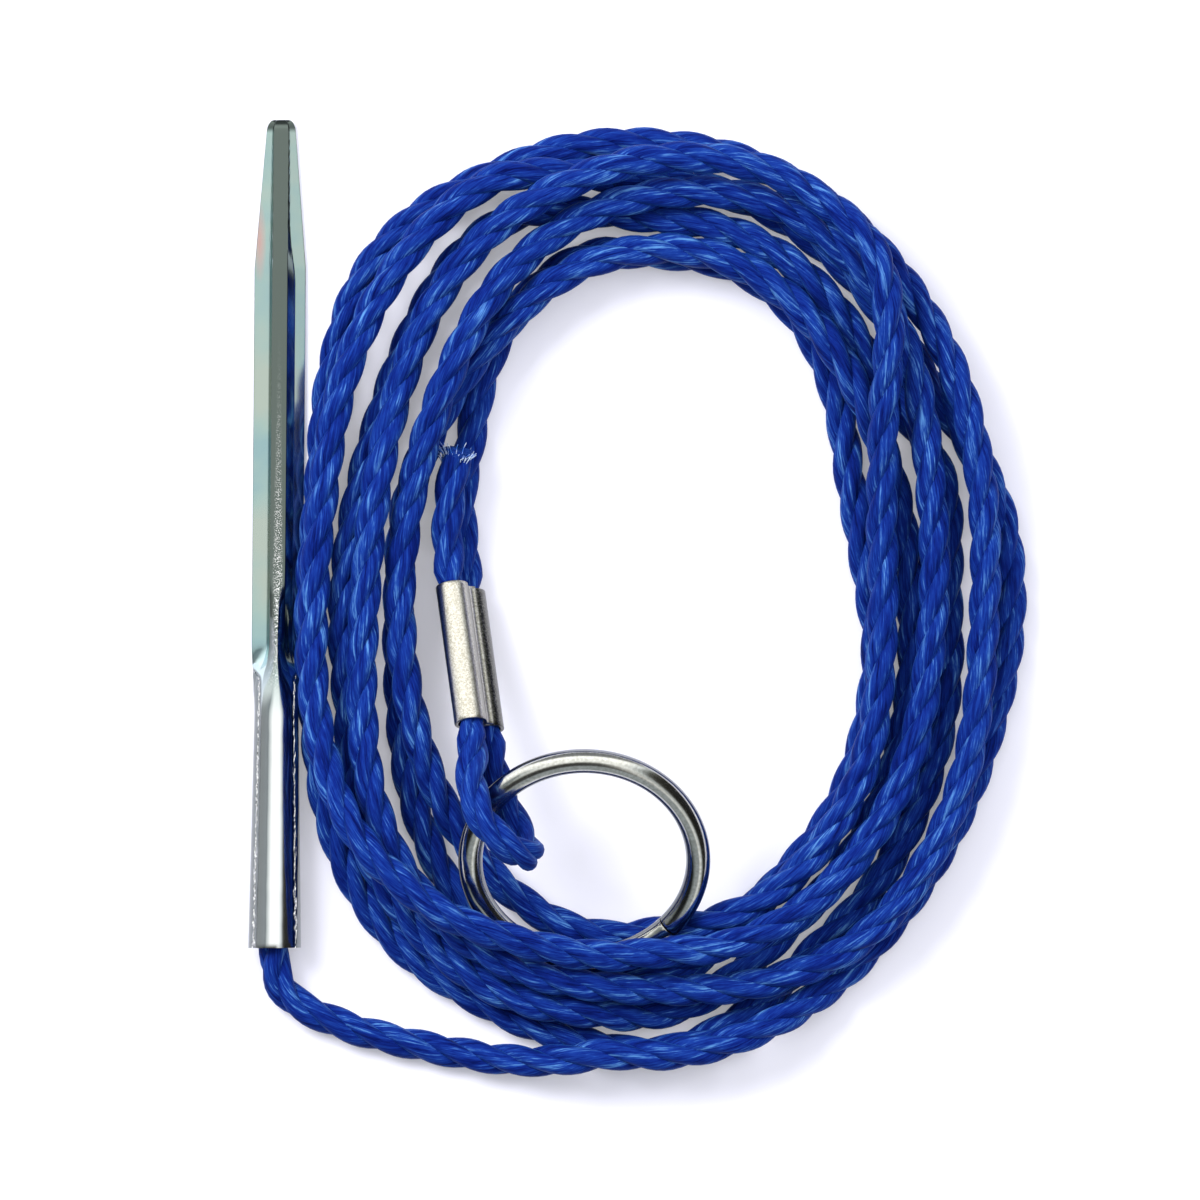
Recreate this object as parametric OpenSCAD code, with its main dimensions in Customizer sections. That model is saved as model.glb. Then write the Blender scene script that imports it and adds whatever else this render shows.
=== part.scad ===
// Fish stringer: a sheet-steel threading needle, one coiled length of laid rope,
// and a wire ring held in a crimped rope eye, lying flat as it is sold.
// X runs across, Y along the needle with its tip at +Y, and Z is up from the surface.

/* [Overall] */
// Width from the needle mouth's outer edge to the ring's outer edge
span_w = 57.8; // [54:0.1:64]
// Length from the needle's tip to the ring's lowest edge
span_l = 106.4; // [104:0.1:116]

/* [Needle] */
// Length of the needle
needle_l = 103.6; // [95:0.1:110]
// Thickness of the folded sheet
sheet_t = 0.6; // [0.4:0.05:0.8]
// Width of the blade
blade_w = 6.4; // [5.6:0.1:7.2]
// Height of the blade over the surface
blade_h = 1.9; // [1.7:0.1:2.4]
// Width of the flat along the blade's ridge
ridge_w = 1.9; // [1.4:0.1:2.2]
// Slope of the blade's two wings, in degrees
wing_slope = 15; // [10:0.5:18]
// Width of the blunt tip
tip_w = 3.4; // [3:0.1:4]
// Height of the tip
tip_h = 1.3; // [1.1:0.1:1.7]
// Length over which the blade narrows to its tip
taper_l = 18.6; // [12:0.1:26]
// Length of the rolled socket
socket_l = 30; // [24:0.5:36]
// Length over which the fold opens into the socket
blend_l = 10; // [7:0.5:14]
// Outer diameter of the socket where it starts
waist_d = 5.5; // [5.3:0.1:6.2]
// Outer diameter of the socket at its mouth
mouth_d = 6.6; // [6.2:0.1:7.2]
// Open seam along the underside
seam_w = 0.4; // [0.2:0.1:1]
// Lean of the needle from the Y axis, in degrees
needle_lean = 0.45; // [0:0.05:1]

/* [Ring] */
// Radius of the ring at its wire's centre
ring_r = 14.22; // [13.6:0.01:15]
// Diameter of the ring's wire
wire_d = 3.05; // [2.6:0.05:3.2]
// Tilt of the ring about the X axis, in degrees
ring_tilt = 29.6; // [26:0.1:33]
// Height of the wire's centre where the ring is lowest
ring_low = 5; // [4.8:0.1:5.4]
// Gap between the wire's butted ends
butt_gap = 0.12; // [0.05:0.01:0.4]

/* [Crimp sleeve] */
// Length of the sleeve
sleeve_l = 18.4; // [16:0.1:20]
// Thickness of the sleeve's strip
strip_t = 0.45; // [0.3:0.05:0.6]
// Diameter of the squeezed rope in a barrel
squeezed_d = 3; // [2.8:0.05:3.2]
// Clearance between a barrel and the squeezed rope
barrel_clear = 0.1; // [0.05:0.01:0.2]
// Distance between the two barrels' axes
barrel_pitch = 4.2; // [4.15:0.01:4.4]

/* [Rope] */
// Diameter of the rope drawn smooth, between its crowns and grooves
rope_d = 3.8; // [3.4:0.1:3.8]
// Depth to which the rope goes into the needle's socket
socket_depth = 10; // [6:0.5:16]

/* [Hidden] */

// Overrun of a cut past the faces that it opens
over = 1;
round_fn = 72;

// Needle. Its tip touches the front of the overall length, its mouth the left side.
tip_y = span_l / 2;
mouth_x = -span_w / 2 + mouth_d / 2 * cos(needle_lean);
tip_x = mouth_x + needle_l * sin(needle_lean);
blade_l = needle_l - socket_l;
bend_r = 0.35;
tip_round = 1.4;
tip_drop = 0.5;
// Height of a wing's lip as a share of the sheet, and share of a half blade in its steep side
lip_share = 0.7;
steep_share = 0.4;
lip_z = lip_share * sheet_t;
// Shares of the tip's half width, from the very end back to where its corners end
tip_shares = [0.7, 0.86, 0.94, 0.98, 1];
// Shares of the socket's half turn at which the ridge flat and the steep side end
ridge_share = 0.2;
foot_share = 0.5;
// Share of the socket's half turn that a bend takes
bend_share = 0.06;

// Ring
ring_x = span_w / 2 - ring_r - wire_d / 2;
ring_y = -span_l / 2 + ring_r * cos(ring_tilt) + wire_d / 2;
ring_z = ring_low + ring_r * sin(ring_tilt);
butt_angle = -42;

// Crimp sleeve. Its place is the middle of its upper end, between its barrels.
sleeve_aside = 15.5;
sleeve_back = 33.7;
sleeve_x = ring_x - sleeve_aside;
sleeve_y = ring_y + sleeve_back;
sleeve_z = 4.95;
// Heading of the sleeve in plan, its climb towards the ring, and its roll
sleeve_heading = -82;
sleeve_climb = 20;
sleeve_roll = 62;
bore_r = squeezed_d / 2 + barrel_clear;
barrel_r = bore_r + strip_t;
slit_w = 0.1;
// Distance over which the rope swells from its squeezed size to its own
swell_l = 2;
// Squeezed length that stands out of each end of a barrel
proud_l = 0.3;

// Rope. The cord's ends run straight for one diameter where they meet.
rope_r = rope_d / 2;
end_run = 4;
rest_gap = 0.15;
tube_sides = 8;
coil_sides = 6;
coil_step = 15;

// Coil: an oval, with a lane across it and a height over the surface at each sweep.
// Sweep 0 is the coil's foot, 90 its right side, 180 its head and 270 its left side.
coil_x = 23.1;
coil_y = -7.5;
coil_a = 36.5;
coil_b = 50.6;
coil_heading = -100;
// Each turn is a list of [sweep, lane, height], in degrees and millimetres
turns = [
    // Turn 1: up the right side, over the head, then across the left side to the ring
    [[0, 5.6, 7.2], [15, 4.9, 6.9], [30, 4.6, 3.2], [45, 4.6, 2.1], [70, 5.7, 2.1],
     [90, 6.9, 2.1], [99, 6.8, 2.1], [106, 5.9, 2.1], [113, 4.2, 2.1], [121, 2.6, 2.1],
     [131, 1.9, 2.1], [145, 1.8, 2.1], [160, 1.9, 2.1], [180, 2.4, 2.1], [188, 3.4, 3.8],
     [196, 5.6, 6.2], [205, 9, 7], [215, 9.9, 7], [226, 9.8, 6.9], [240, 8.9, 6.8],
     [257, 7.3, 6.9], [270, 7.3, 6.9], [285, 8.2, 8.4], [300, 7.6, 13.4], [315, 3.4, 14.6],
     [330, -2, 12.8], [345, -5.4, 10.8]],
    // Turn 2: over the ring's wire, up the right side, down the inside of the left
    [[0, -7.3, 10.3], [15, -6.6, 10.3], [30, -5.4, 9.6], [45, -4.1, 8.2], [60, -3.1, 6.8],
     [90, -2.8, 6.7], [110, -1.2, 6.7], [122, 0.8, 6.8], [135, 2.6, 7.6], [155, 3, 6.7],
     [180, 0.8, 7.1], [195, -0.1, 7.2], [210, -0.9, 7.9], [218, -1.4, 9.6], [226, -2.2, 10.6],
     [240, -3.2, 9.9], [255, -3.5, 7.1], [270, -3.5, 6.6], [285, -3.6, 6.5], [300, -3.8, 5.3],
     [315, -4.6, 2.6], [330, -6, 2.1], [345, -7.9, 2.1]],
    // Turn 3: under the ring's wire, then the steep diagonal over the head
    [[0, -9.8, 2.2], [15, -9.9, 6.5], [30, -9.1, 6.7], [60, -8, 6.7], [90, -9.1, 6.7],
     [105, -8.2, 7.4], [113, -6.6, 9], [121, -4.2, 10.8], [131, 0.6, 12.7], [141, 5.2, 12.5],
     [155, 6.3, 9.8], [180, 5.2, 10.9], [195, 4.4, 10.9], [210, 4.3, 8.4], [225, 3.5, 7.3],
     [240, 1.9, 7], [249, 1.2, 8.7], [258, 0.8, 8.9], [270, 0.9, 8.4], [285, 2.5, 7.8],
     [293, 3.6, 8.9], [303, 4.3, 9.7], [315, 3.8, 9.8], [330, 1.5, 9.3], [345, -1.4, 8.5]],
    // Turn 4: the outermost turn over the head and down the left
    [[0, -2.5, 6.8], [20, -0.4, 6.7], [40, 3.2, 6.7], [60, 4.2, 6.7], [90, 3.6, 6.7],
     [110, 5, 6.7], [122, 5.8, 6.6], [135, 6.1, 4.4], [150, 6.3, 2.1], [165, 6.5, 2.1],
     [180, 7, 2.1], [194, 8.5, 2.1], [207, 10.1, 2.1], [218, 12.2, 2.1], [226, 12.7, 2.1],
     [240, 10.7, 2.1], [255, 8, 2.2], [270, 7.8, 2.3], [285, 8.6, 2.1], [300, 10.3, 2.1],
     [308, 10.5, 2.1], [316, 9.9, 2.1], [330, 7.4, 2.1], [345, 5.8, 2.1]],
    // Turn 5: the lowest turn on the right, then under and between the bands on the left
    [[0, 5.2, 2.5], [15, 2.5, 2.1], [30, 0.1, 2.1], [45, 0.1, 2.1], [60, 0.1, 2.1],
     [75, -0.2, 2.1], [83, -0.6, 2.1], [90, -1, 2.1], [98, -0.6, 2.1], [105, 0.1, 2.1],
     [112, -0.3, 2.1], [120, -2, 2.1], [130, -2.8, 2.6], [140, -2.5, 3.6], [155, -2.3, 4.2],
     [170, -2.4, 4.1], [183, -2.1, 3.2], [195, 0.4, 2.3], [207, 4.2, 2.1], [217, 4.8, 2.1],
     [228, 4, 2.1], [240, 3.1, 2.4], [255, 3, 3.7], [270, 3.6, 4.2], [285, 4.2, 3.3],
     [300, 6.9, 5.8], [315, 6.8, 5.8], [330, 5.2, 6.3], [345, 2.1, 5.7]],
    // Turn 6: low on the right, on the rim at the head, then under the inner band
    [[0, 0.4, 2.1], [8, -0.9, 2.1], [15, -2.3, 2.1], [30, -4.4, 2.1], [45, -4.4, 2.1],
     [60, -4.4, 2.1], [72, -4.7, 2.1], [83, -5.1, 2.1], [92, -5.7, 2.1], [105, -5.9, 2.1],
     [113, -6, 3.6], [121, -6.1, 6], [130, -6, 6.7], [165, -6, 6.8], [180, -6.1, 6.8],
     [210, -5.4, 6.7], [225, -4.9, 6.6], [240, -4, 4.8], [255, -3.1, 2.4], [270, -3.3, 2.1],
     [281, -2.7, 2.1], [300, -0.5, 2.1], [315, 0.6, 2.1], [330, 1.4, 2.1], [345, -2, 2.1]],
    // Turn 7: innermost, ending where the rope leaves the coil for the sleeve
    [[0, -4.5, 2.1], [8, -5.6, 2.1], [15, -7, 2.1], [30, -9.1, 2.1], [60, -9, 2.1],
     [75, -9.3, 2.1], [84, -9.7, 2.1], [93, -10.8, 2.1], [105, -11.3, 2.1], [113, -10.9, 2.1],
     [121, -9.7, 2.1], [132, -8, 2.1], [143, -6.8, 2.1], [157, -6.4, 2.1], [180, -6.7, 2.1],
     [188, -6.2, 2.1], [198, -4.8, 2.1], [210, -4.7, 2.1], [225, -5.8, 2.1], [240, -8.3, 2.1]]
];

// Route of the lead from the needle's mouth to the coil
lead_route = [[-25.2, -54.2, 2.3], [-24.3, -55.9, 2.1], [-22.6, -57.5, 2.1], [-19.9, -58.9, 2.1],
    [-15.2, -60.7, 2.1], [-9.9, -62.1, 2.1], [-3, -63.5, 2.1], [3.5, -64.4, 3.6], [10.2, -64.4, 6.2]];
// Route of the standing part from the coil to the sleeve
standing_route = [[-2.3, 4.5, 2.1], [-2.2, 2.2, 2.1], [-1.9, -0.2, 2.1]];
// Route of the eye from the sleeve, under the ring's wire, round and back over it
eye_route = [[1.9, -28.2, 11.3], [2.7, -30.6, 11.9], [3.7, -33.2, 12.3], [4.8, -35.4, 12.9],
    [5.7, -37.1, 13.9], [6.2, -38.2, 15.5], [6, -38.7, 17.3], [5.1, -38.5, 18.9], [3.7, -37.6, 20.1],
    [2.1, -36.2, 20.8], [0.6, -34.3, 20.7], [-0.5, -31.8, 19.6], [-0.9, -29.1, 17.7],
    [-0.8, -26.6, 15.4]];
// Route of the tail from the sleeve to its cut end
tail_route = [[-4, 1.4, 5.8], [-3.8, 4.6, 6.2], [-3.4, 8, 6.2], [-2.7, 11.9, 6.2]];

// Joins a list of lists into one list
function joined(lists) = [for (list = lists) each list];
function sum(v, i = 0) = i < len(v) ? v[i] + sum(v, i + 1) : 0;
function unit(v) = v / norm(v);
function blend(a, b, f) = a + (b - a) * f;
function smooth(f) = f <= 0 ? 0 : f >= 1 ? 1 : f * f * (3 - 2 * f);

// Place of a point on the needle: back from the tip, across, and up
function on_needle(back, x, z) = [tip_x - back * sin(needle_lean) + x * cos(needle_lean),
    tip_y - back * cos(needle_lean) + x * sin(needle_lean), z];

// Half width and height of the blade, and how far the fold has opened, back from the tip
function blade_half(back) = back >= taper_l ? blade_w / 2 :
    blend(tip_w, blade_w, back / taper_l) / 2;
function blade_top(back) = back >= taper_l ? blade_h :
    blend(tip_h, blade_h, back / taper_l) - tip_drop * pow(max(0, 1 - back / tip_round), 2);
function ridge_half(back) = min(ridge_w / 2, blade_half(back) / 2);
function opened(back) = smooth((back - blade_l + blend_l) / blend_l);
function socket_r(back) = blend(waist_d, mouth_d, max(0, (back - blade_l) / socket_l)) / 2;

// Points round a corner, from its run in to its run out
function corner_points(corner, into, away, size) = [for (f = [0 : 0.25 : 1])
    blend(blend(corner - size * into, corner, f), blend(corner, corner + size * away, f), f)];

// Right half of the pressed blade's outline from the ridge out, on its outside or inside:
// the ridge flat, a steep side, and a shallow wing that ends in a lip on the surface
function fold_half(half, top, flat, in) =
    let (toe = flat + steep_share * (half - flat))
    let (low = lip_z + (half - toe) * tan(wing_slope))
    let (steep = atan2(top - low, toe - flat), mid = (steep + wing_slope) / 2)
    let (crest = [flat - in * tan(steep / 2), top - in])
    let (foot = [toe, low] - in / cos((steep - wing_slope) / 2) * [sin(mid), cos(mid)])
    let (lip = [half, lip_z] - in * [sin(wing_slope), cos(wing_slope)])
    let (bend = min(bend_r, crest[0] / 2, norm(foot - crest) / 3))
    let (down = [cos(steep), -sin(steep)], out = [cos(wing_slope), -sin(wing_slope)])
    let (points = concat([[0, top - in], [(crest[0] - bend) / 2, top - in]],
        corner_points(crest, [1, 0], down, bend),
        [for (f = [1 / 3, 2 / 3]) blend(crest + bend * down, foot - bend * down, f)],
        corner_points(foot, down, out, bend),
        [for (f = [0.2 : 0.2 : 1]) blend(foot + bend * out, lip, f)]))
    [for (p = points) [p[0], max(0, p[1])]];

// The same points on the rolled socket
function roll_half(r, in) =
    let (last = 180 - asin(seam_w / 2 / r))
    let (rise = -r * cos(last))
    let (turn_shares = concat([0, ridge_share / 2],
        [for (f = [0 : 0.25 : 1]) ridge_share + bend_share * f],
        [for (f = [1 / 3, 2 / 3]) blend(ridge_share + bend_share, foot_share, f)],
        [for (f = [0 : 0.25 : 1]) foot_share + bend_share * f],
        [for (f = [0.2 : 0.2 : 1]) blend(foot_share + bend_share, 1, f)]))
    [for (f = turn_shares) [(r - in) * sin(last * f), rise + (r - in) * cos(last * f)]];

function needle_half(back, width_share, in) =
    let (fold = fold_half(blade_half(back) * width_share, blade_top(back),
        ridge_half(back) * width_share, in))
    let (roll = roll_half(socket_r(back), in))
    [for (i = [0 : len(fold) - 1]) blend(fold[i], roll[i], opened(back))];

// Closed outline of the sheet: out along its outside and home along its inside
function needle_outline(back, width_share) =
    let (out = needle_half(back, width_share, 0))
    let (in = needle_half(back, width_share, sheet_t))
    let (n = len(out) - 1)
    concat([for (i = [n : -1 : 1]) [-out[i][0], out[i][1]]], out,
        [for (i = [n : -1 : 1]) in[i]], [for (i = [0 : n]) [-in[i][0], in[i][1]]]);

// Stations along the needle, as [distance back from the tip, share of the width]
tip_count = len(tip_shares) - 1;
needle_stations = concat(
    [for (i = [0 : tip_count]) [tip_round * (1 - cos(90 * i / tip_count)), tip_shares[i]]],
    [for (i = [1 : 3]) [blend(tip_round, taper_l, i / 3), 1]],
    [for (i = [1 : 4]) [blend(taper_l, blade_l - blend_l, i / 4), 1]],
    [for (i = [1 : 10]) [blade_l - blend_l + blend_l * i / 10, 1]],
    [for (i = [1 : 3]) [blade_l + socket_l * i / 3, 1]]);

module needle() {
    rings = [for (s = needle_stations)
        [for (p = needle_outline(s[0], s[1])) on_needle(s[0], p[0], p[1])]];
    color("lightsteelblue") skin(rings, open_strip = len(needle_outline(0, 1)) / 2);
}

// Closed surface through a row of outlines that have the same number of points.
// With open_strip the ends are strips between the outline's two halves, else fans.
module skin(rings, open_strip = 0) {
    n = len(rings[0]);
    last = len(rings) - 1;
    sides = [for (k = [0 : last - 1]) for (i = [0 : n - 1])
        let (a = k * n + i, b = k * n + (i + 1) % n)
        each [[a, b, b + n], [a, b + n, a + n]]];
    ends = open_strip > 0 ?
        [for (i = [0 : open_strip - 2])
            let (j = n - 1 - i, top = last * n)
            each [[i, j, i + 1], [j, j - 1, i + 1],
                [top + i, top + i + 1, top + j], [top + j, top + i + 1, top + j - 1]]] :
        [for (i = [1 : n - 2]) each [[0, i + 1, i], [last * n, last * n + i, last * n + i + 1]]];
    polyhedron(points = joined(rings), faces = concat(sides, ends), convexity = 10);
}

// Tube along points, with a radius at each. Each ring's top is carried on from the ring before.
function heading(path, i) =
    i == 0 ? unit(path[1] - path[0]) :
    i == len(path) - 1 ? unit(path[i] - path[i - 1]) :
    unit(unit(path[i] - path[i - 1]) + unit(path[i + 1] - path[i]));
function carried(path, ups, i = 1) = i == len(path) ? ups :
    let (ahead = heading(path, i), up = ups[i - 1])
    carried(path, concat(ups, [unit(up - (up * ahead) * ahead)]), i + 1);
function tube_rings(path, radii, sides) =
    let (ups = carried(path, [[0, 0, 1]]))
    [for (i = [0 : len(path) - 1])
        let (side = cross(heading(path, i), ups[i]))
        [for (k = [0 : sides - 1])
            path[i] + radii[i] * (ups[i] * cos(360 * k / sides) - side * sin(360 * k / sides))]];
module tube(path, radii, sides) {
    skin(tube_rings(path, radii, sides));
}
function path_length(path) = sum([for (i = [1 : len(path) - 1]) norm(path[i] - path[i - 1])]);

// Coil: its knots in one list, and a smooth curve through each column of it
knots = [for (turn = [0 : len(turns) - 1]) for (k = turns[turn]) [360 * turn + k[0], k[1], k[2]]];
knot_last = len(knots) - 1;
function rate(i, col) = (knots[i + 1][col] - knots[i][col]) / (knots[i + 1][0] - knots[i][0]);
function knot_gap(i) = knots[i + 1][0] - knots[i][0];
function mean_rate(i, col) =
    (knot_gap(i) * rate(i - 1, col) + knot_gap(i - 1) * rate(i, col)) / (knot_gap(i - 1) + knot_gap(i));
lane_slopes = [for (i = [0 : knot_last])
    i == 0 ? rate(0, 1) : i == knot_last ? rate(i - 1, 1) : mean_rate(i, 1)];
// The height stays between its neighbours, so that no turn dips or humps by itself
function held_rate(i, col) = rate(i - 1, col) * rate(i, col) <= 0 ? 0 :
    sign(rate(i, col)) * min(abs(mean_rate(i, col)), 3 * abs(rate(i - 1, col)), 3 * abs(rate(i, col)));
height_slopes = [for (i = [0 : knot_last]) i == 0 || i == knot_last ? 0 : held_rate(i, 2)];
function knot_before(sweep) =
    max([for (i = [0 : knot_last - 1]) knots[i][0] <= sweep ? i : 0]);
function eased(sweep, i, col, slopes) =
    let (h = knot_gap(i), f = (sweep - knots[i][0]) / h)
    knots[i][col] * (1 + 2 * f) * pow(1 - f, 2) + slopes[i] * h * f * pow(1 - f, 2)
    + knots[i + 1][col] * f * f * (3 - 2 * f) - slopes[i + 1] * h * f * f * (1 - f);
function coil_point(sweep) =
    let (i = knot_before(sweep))
    let (oval = [coil_a * sin(sweep), -coil_b * cos(sweep)])
    let (out = unit([oval[0] / pow(coil_a, 2), oval[1] / pow(coil_b, 2)]))
    let (place = oval + out * eased(sweep, i, 1, lane_slopes))
    [coil_x + place[0], coil_y + place[1], eased(sweep, i, 2, height_slopes)];
coil_turn = [for (sweep = [0 : coil_step : knots[knot_last][0]]) coil_point(sweep)];
coil_in = coil_turn[0] - [end_run, 0, 0];
coil_away = [cos(coil_heading), sin(coil_heading), 0];
coil_out = coil_turn[len(coil_turn) - 1] + end_run * coil_away;
coil_path = concat([coil_in], coil_turn, [coil_out]);

// Least gap of the coil to itself, between points a third of a ring's spacing apart
coil_fine = [for (i = [0 : len(coil_path) - 2]) for (f = [0 : 2])
    blend(coil_path[i], coil_path[i + 1], f / 3)];
function near_points(i) = [for (j = [i + 15 : 1 : len(coil_fine) - 1]) norm(coil_fine[i] - coil_fine[j])];
coil_gap = min([for (i = [0 : len(coil_fine) - 16]) min(near_points(i))]) - rope_d;

// Distance from a point to the centre line of the ring's wire
function to_wire(p) =
    let (q = p - [ring_x, ring_y, ring_z])
    let (along = q[1] * cos(ring_tilt) + q[2] * sin(ring_tilt))
    let (away = q[2] * cos(ring_tilt) - q[1] * sin(ring_tilt))
    norm([norm([q[0], along]) - ring_r, away]);
function wire_gap(path) = min([for (i = [0 : len(path) - 2]) for (f = [0 : 0.125 : 1])
    to_wire(blend(path[i], path[i + 1], f))]) - rope_r - wire_d / 2;

module rope_coil() {
    color("royalblue") tube(coil_path, [for (p = coil_path) rope_r], coil_sides);
}

// Lead: it starts on the floor of the needle's socket and ends square on the coil
socket_z = sheet_t + rope_r + rest_gap;
lead_path = concat(
    [for (back = [-socket_depth, -socket_depth / 2, 0, end_run / 2])
        on_needle(needle_l + back, 0, socket_z)],
    lead_route, [coil_in - [end_run, 0, 0], coil_in]);
module rope_lead() {
    color("royalblue") tube(lead_path, [for (p = lead_path) rope_r], tube_sides);
}

// Frame of the sleeve: along it towards the ring, and from its low barrel to its high one
sleeve_dir = [cos(sleeve_climb) * cos(sleeve_heading), cos(sleeve_climb) * sin(sleeve_heading),
    sin(sleeve_climb)];
sleeve_left = [sin(sleeve_heading), -cos(sleeve_heading), 0];
sleeve_up = cross(sleeve_left, sleeve_dir);
sleeve_across = sleeve_left * cos(sleeve_roll) + sleeve_up * sin(sleeve_roll);
sleeve_back_way = cross(sleeve_dir, sleeve_across);
// A point on the axis of the low barrel (-1) or the high one (1), along from the upper end
function on_barrel(side, along) =
    [sleeve_x, sleeve_y, sleeve_z] + sleeve_across * barrel_pitch / 2 * side + sleeve_dir * along;
function barrel_points(side) =
    [for (along = [-swell_l, -proud_l, sleeve_l / 2, sleeve_l + proud_l, sleeve_l + swell_l])
        on_barrel(side, along)];
function reversed(v) = [for (i = [len(v) - 1 : -1 : 0]) v[i]];
function full(v) = [for (p = v) rope_r];
squeezed = [rope_r, squeezed_d / 2, squeezed_d / 2, squeezed_d / 2, rope_r];
eye_path = concat([coil_out, coil_out + end_run * coil_away], standing_route, barrel_points(-1),
    eye_route, reversed(barrel_points(1)), tail_route);
eye_radii = concat([rope_r, rope_r], full(standing_route), squeezed,
    full(eye_route), squeezed, full(tail_route));
module rope_eye() {
    color("royalblue") tube(eye_path, eye_radii, tube_sides);
}

// One strip rolled round both legs of the eye: two barrels on a flat back, and a slit
// where the strip's two ends come down side by side between the legs.
module crimp_sleeve() {
    color("lightgray")
    multmatrix([for (r = [0 : 2])
        [sleeve_across[r], sleeve_back_way[r], sleeve_dir[r], [sleeve_x, sleeve_y, sleeve_z][r]]])
    linear_extrude(sleeve_l)
    difference() {
        union() {
            for (side = [-1, 1])
                translate([side * barrel_pitch / 2, 0]) circle(barrel_r, $fn = round_fn);
            translate([-barrel_pitch / 2, -strip_t]) square([barrel_pitch, barrel_r + strip_t]);
        }
        for (side = [-1, 1])
            translate([side * barrel_pitch / 2, 0]) circle(bore_r, $fn = round_fn);
        translate([-slit_w / 2, -strip_t - barrel_r]) square([slit_w, 2 * barrel_r]);
    }
}

// One wire bent round to a ring, its ends butted
module ring() {
    color("silver")
    translate([ring_x, ring_y, ring_z]) rotate([ring_tilt, 0, 0])
    difference() {
        rotate_extrude($fn = 2 * round_fn) translate([ring_r, 0]) circle(wire_d / 2, $fn = round_fn);
        rotate([0, 0, butt_angle]) translate([ring_r - wire_d / 2 - over, -butt_gap / 2, -wire_d / 2 - over])
            cube([wire_d + 2 * over, butt_gap, wire_d + 2 * over]);
    }
}

echo(coil_length = path_length(coil_path), coil_gap = coil_gap);
echo(coil_to_wire = wire_gap(coil_path), eye_to_wire = wire_gap(eye_path));
echo(lead_length = path_length(lead_path), eye_length = path_length(eye_path));

needle();
rope_lead();
rope_coil();
rope_eye();
crimp_sleeve();
ring();
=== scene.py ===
from math import asin, atan2, cos, degrees, hypot, pi, radians, sin, sqrt, tan

import bmesh
import bpy
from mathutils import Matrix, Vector, noise


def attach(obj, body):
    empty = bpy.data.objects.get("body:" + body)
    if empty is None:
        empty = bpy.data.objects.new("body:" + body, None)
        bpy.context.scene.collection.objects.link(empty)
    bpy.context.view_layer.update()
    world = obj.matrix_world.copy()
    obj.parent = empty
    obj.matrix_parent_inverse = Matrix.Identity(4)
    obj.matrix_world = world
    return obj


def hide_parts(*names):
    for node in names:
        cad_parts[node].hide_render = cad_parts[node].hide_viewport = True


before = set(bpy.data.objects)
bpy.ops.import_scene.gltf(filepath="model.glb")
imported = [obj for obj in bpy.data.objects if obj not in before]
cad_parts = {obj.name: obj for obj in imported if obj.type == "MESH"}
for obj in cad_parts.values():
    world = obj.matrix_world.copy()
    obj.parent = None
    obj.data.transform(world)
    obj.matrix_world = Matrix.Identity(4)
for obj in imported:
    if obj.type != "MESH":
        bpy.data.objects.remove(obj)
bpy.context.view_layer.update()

scene = bpy.context.scene
scene.view_settings.view_transform = "Standard"
mm = 0.001


# Camera. The photograph looks straight down on the stringer from far off, with the
# needle standing upright in it, and its frame is 150 mm wide.
view_wide, view_middle, view_height = 150, (15.11, -6.9), 6


def placed(name, data):
    """A new object of the scene that holds the data."""
    made = bpy.data.objects.new(name, data)
    scene.collection.objects.link(made)
    return made


camera = placed("camera", bpy.data.cameras.new("camera"))
scene.camera = camera
camera.data.sensor_width, camera.data.lens = 36, 800
far_off = view_wide * camera.data.lens / camera.data.sensor_width
camera.location = Vector((*view_middle, view_height + far_off)) * mm
camera.data.clip_start, camera.data.clip_end = 0.1, 20


# Rope. One length of laid polypropylene: three strands of fine film yarn twisted to the
# right, 4 mm over the crowns, with the needle on one end and the ring's eye on the other.
# It is wound by hand into an oval coil and its cut end is left bare at the sleeve.
rope_d, rope_lay, rope_step = 4, 16.8, 0.9
strand_count, strand_r, strand_sides, helix_r = 3, 1.13, 12, 0.92
# Its first end is held in the needle's socket, and the needle leans a little
needle_l, needle_lean, needle_tip = 103.6, radians(0.45), (-24.786, 53.2)
socket_z, in_socket = 2.65, 10


def on_needle(back, x, z):
    """The place a way back from the needle's tip, x to its right and z over the floor."""
    return Vector((needle_tip[0] - back * sin(needle_lean) + x * cos(needle_lean),
                   needle_tip[1] - back * cos(needle_lean) + x * sin(needle_lean), z))


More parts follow.
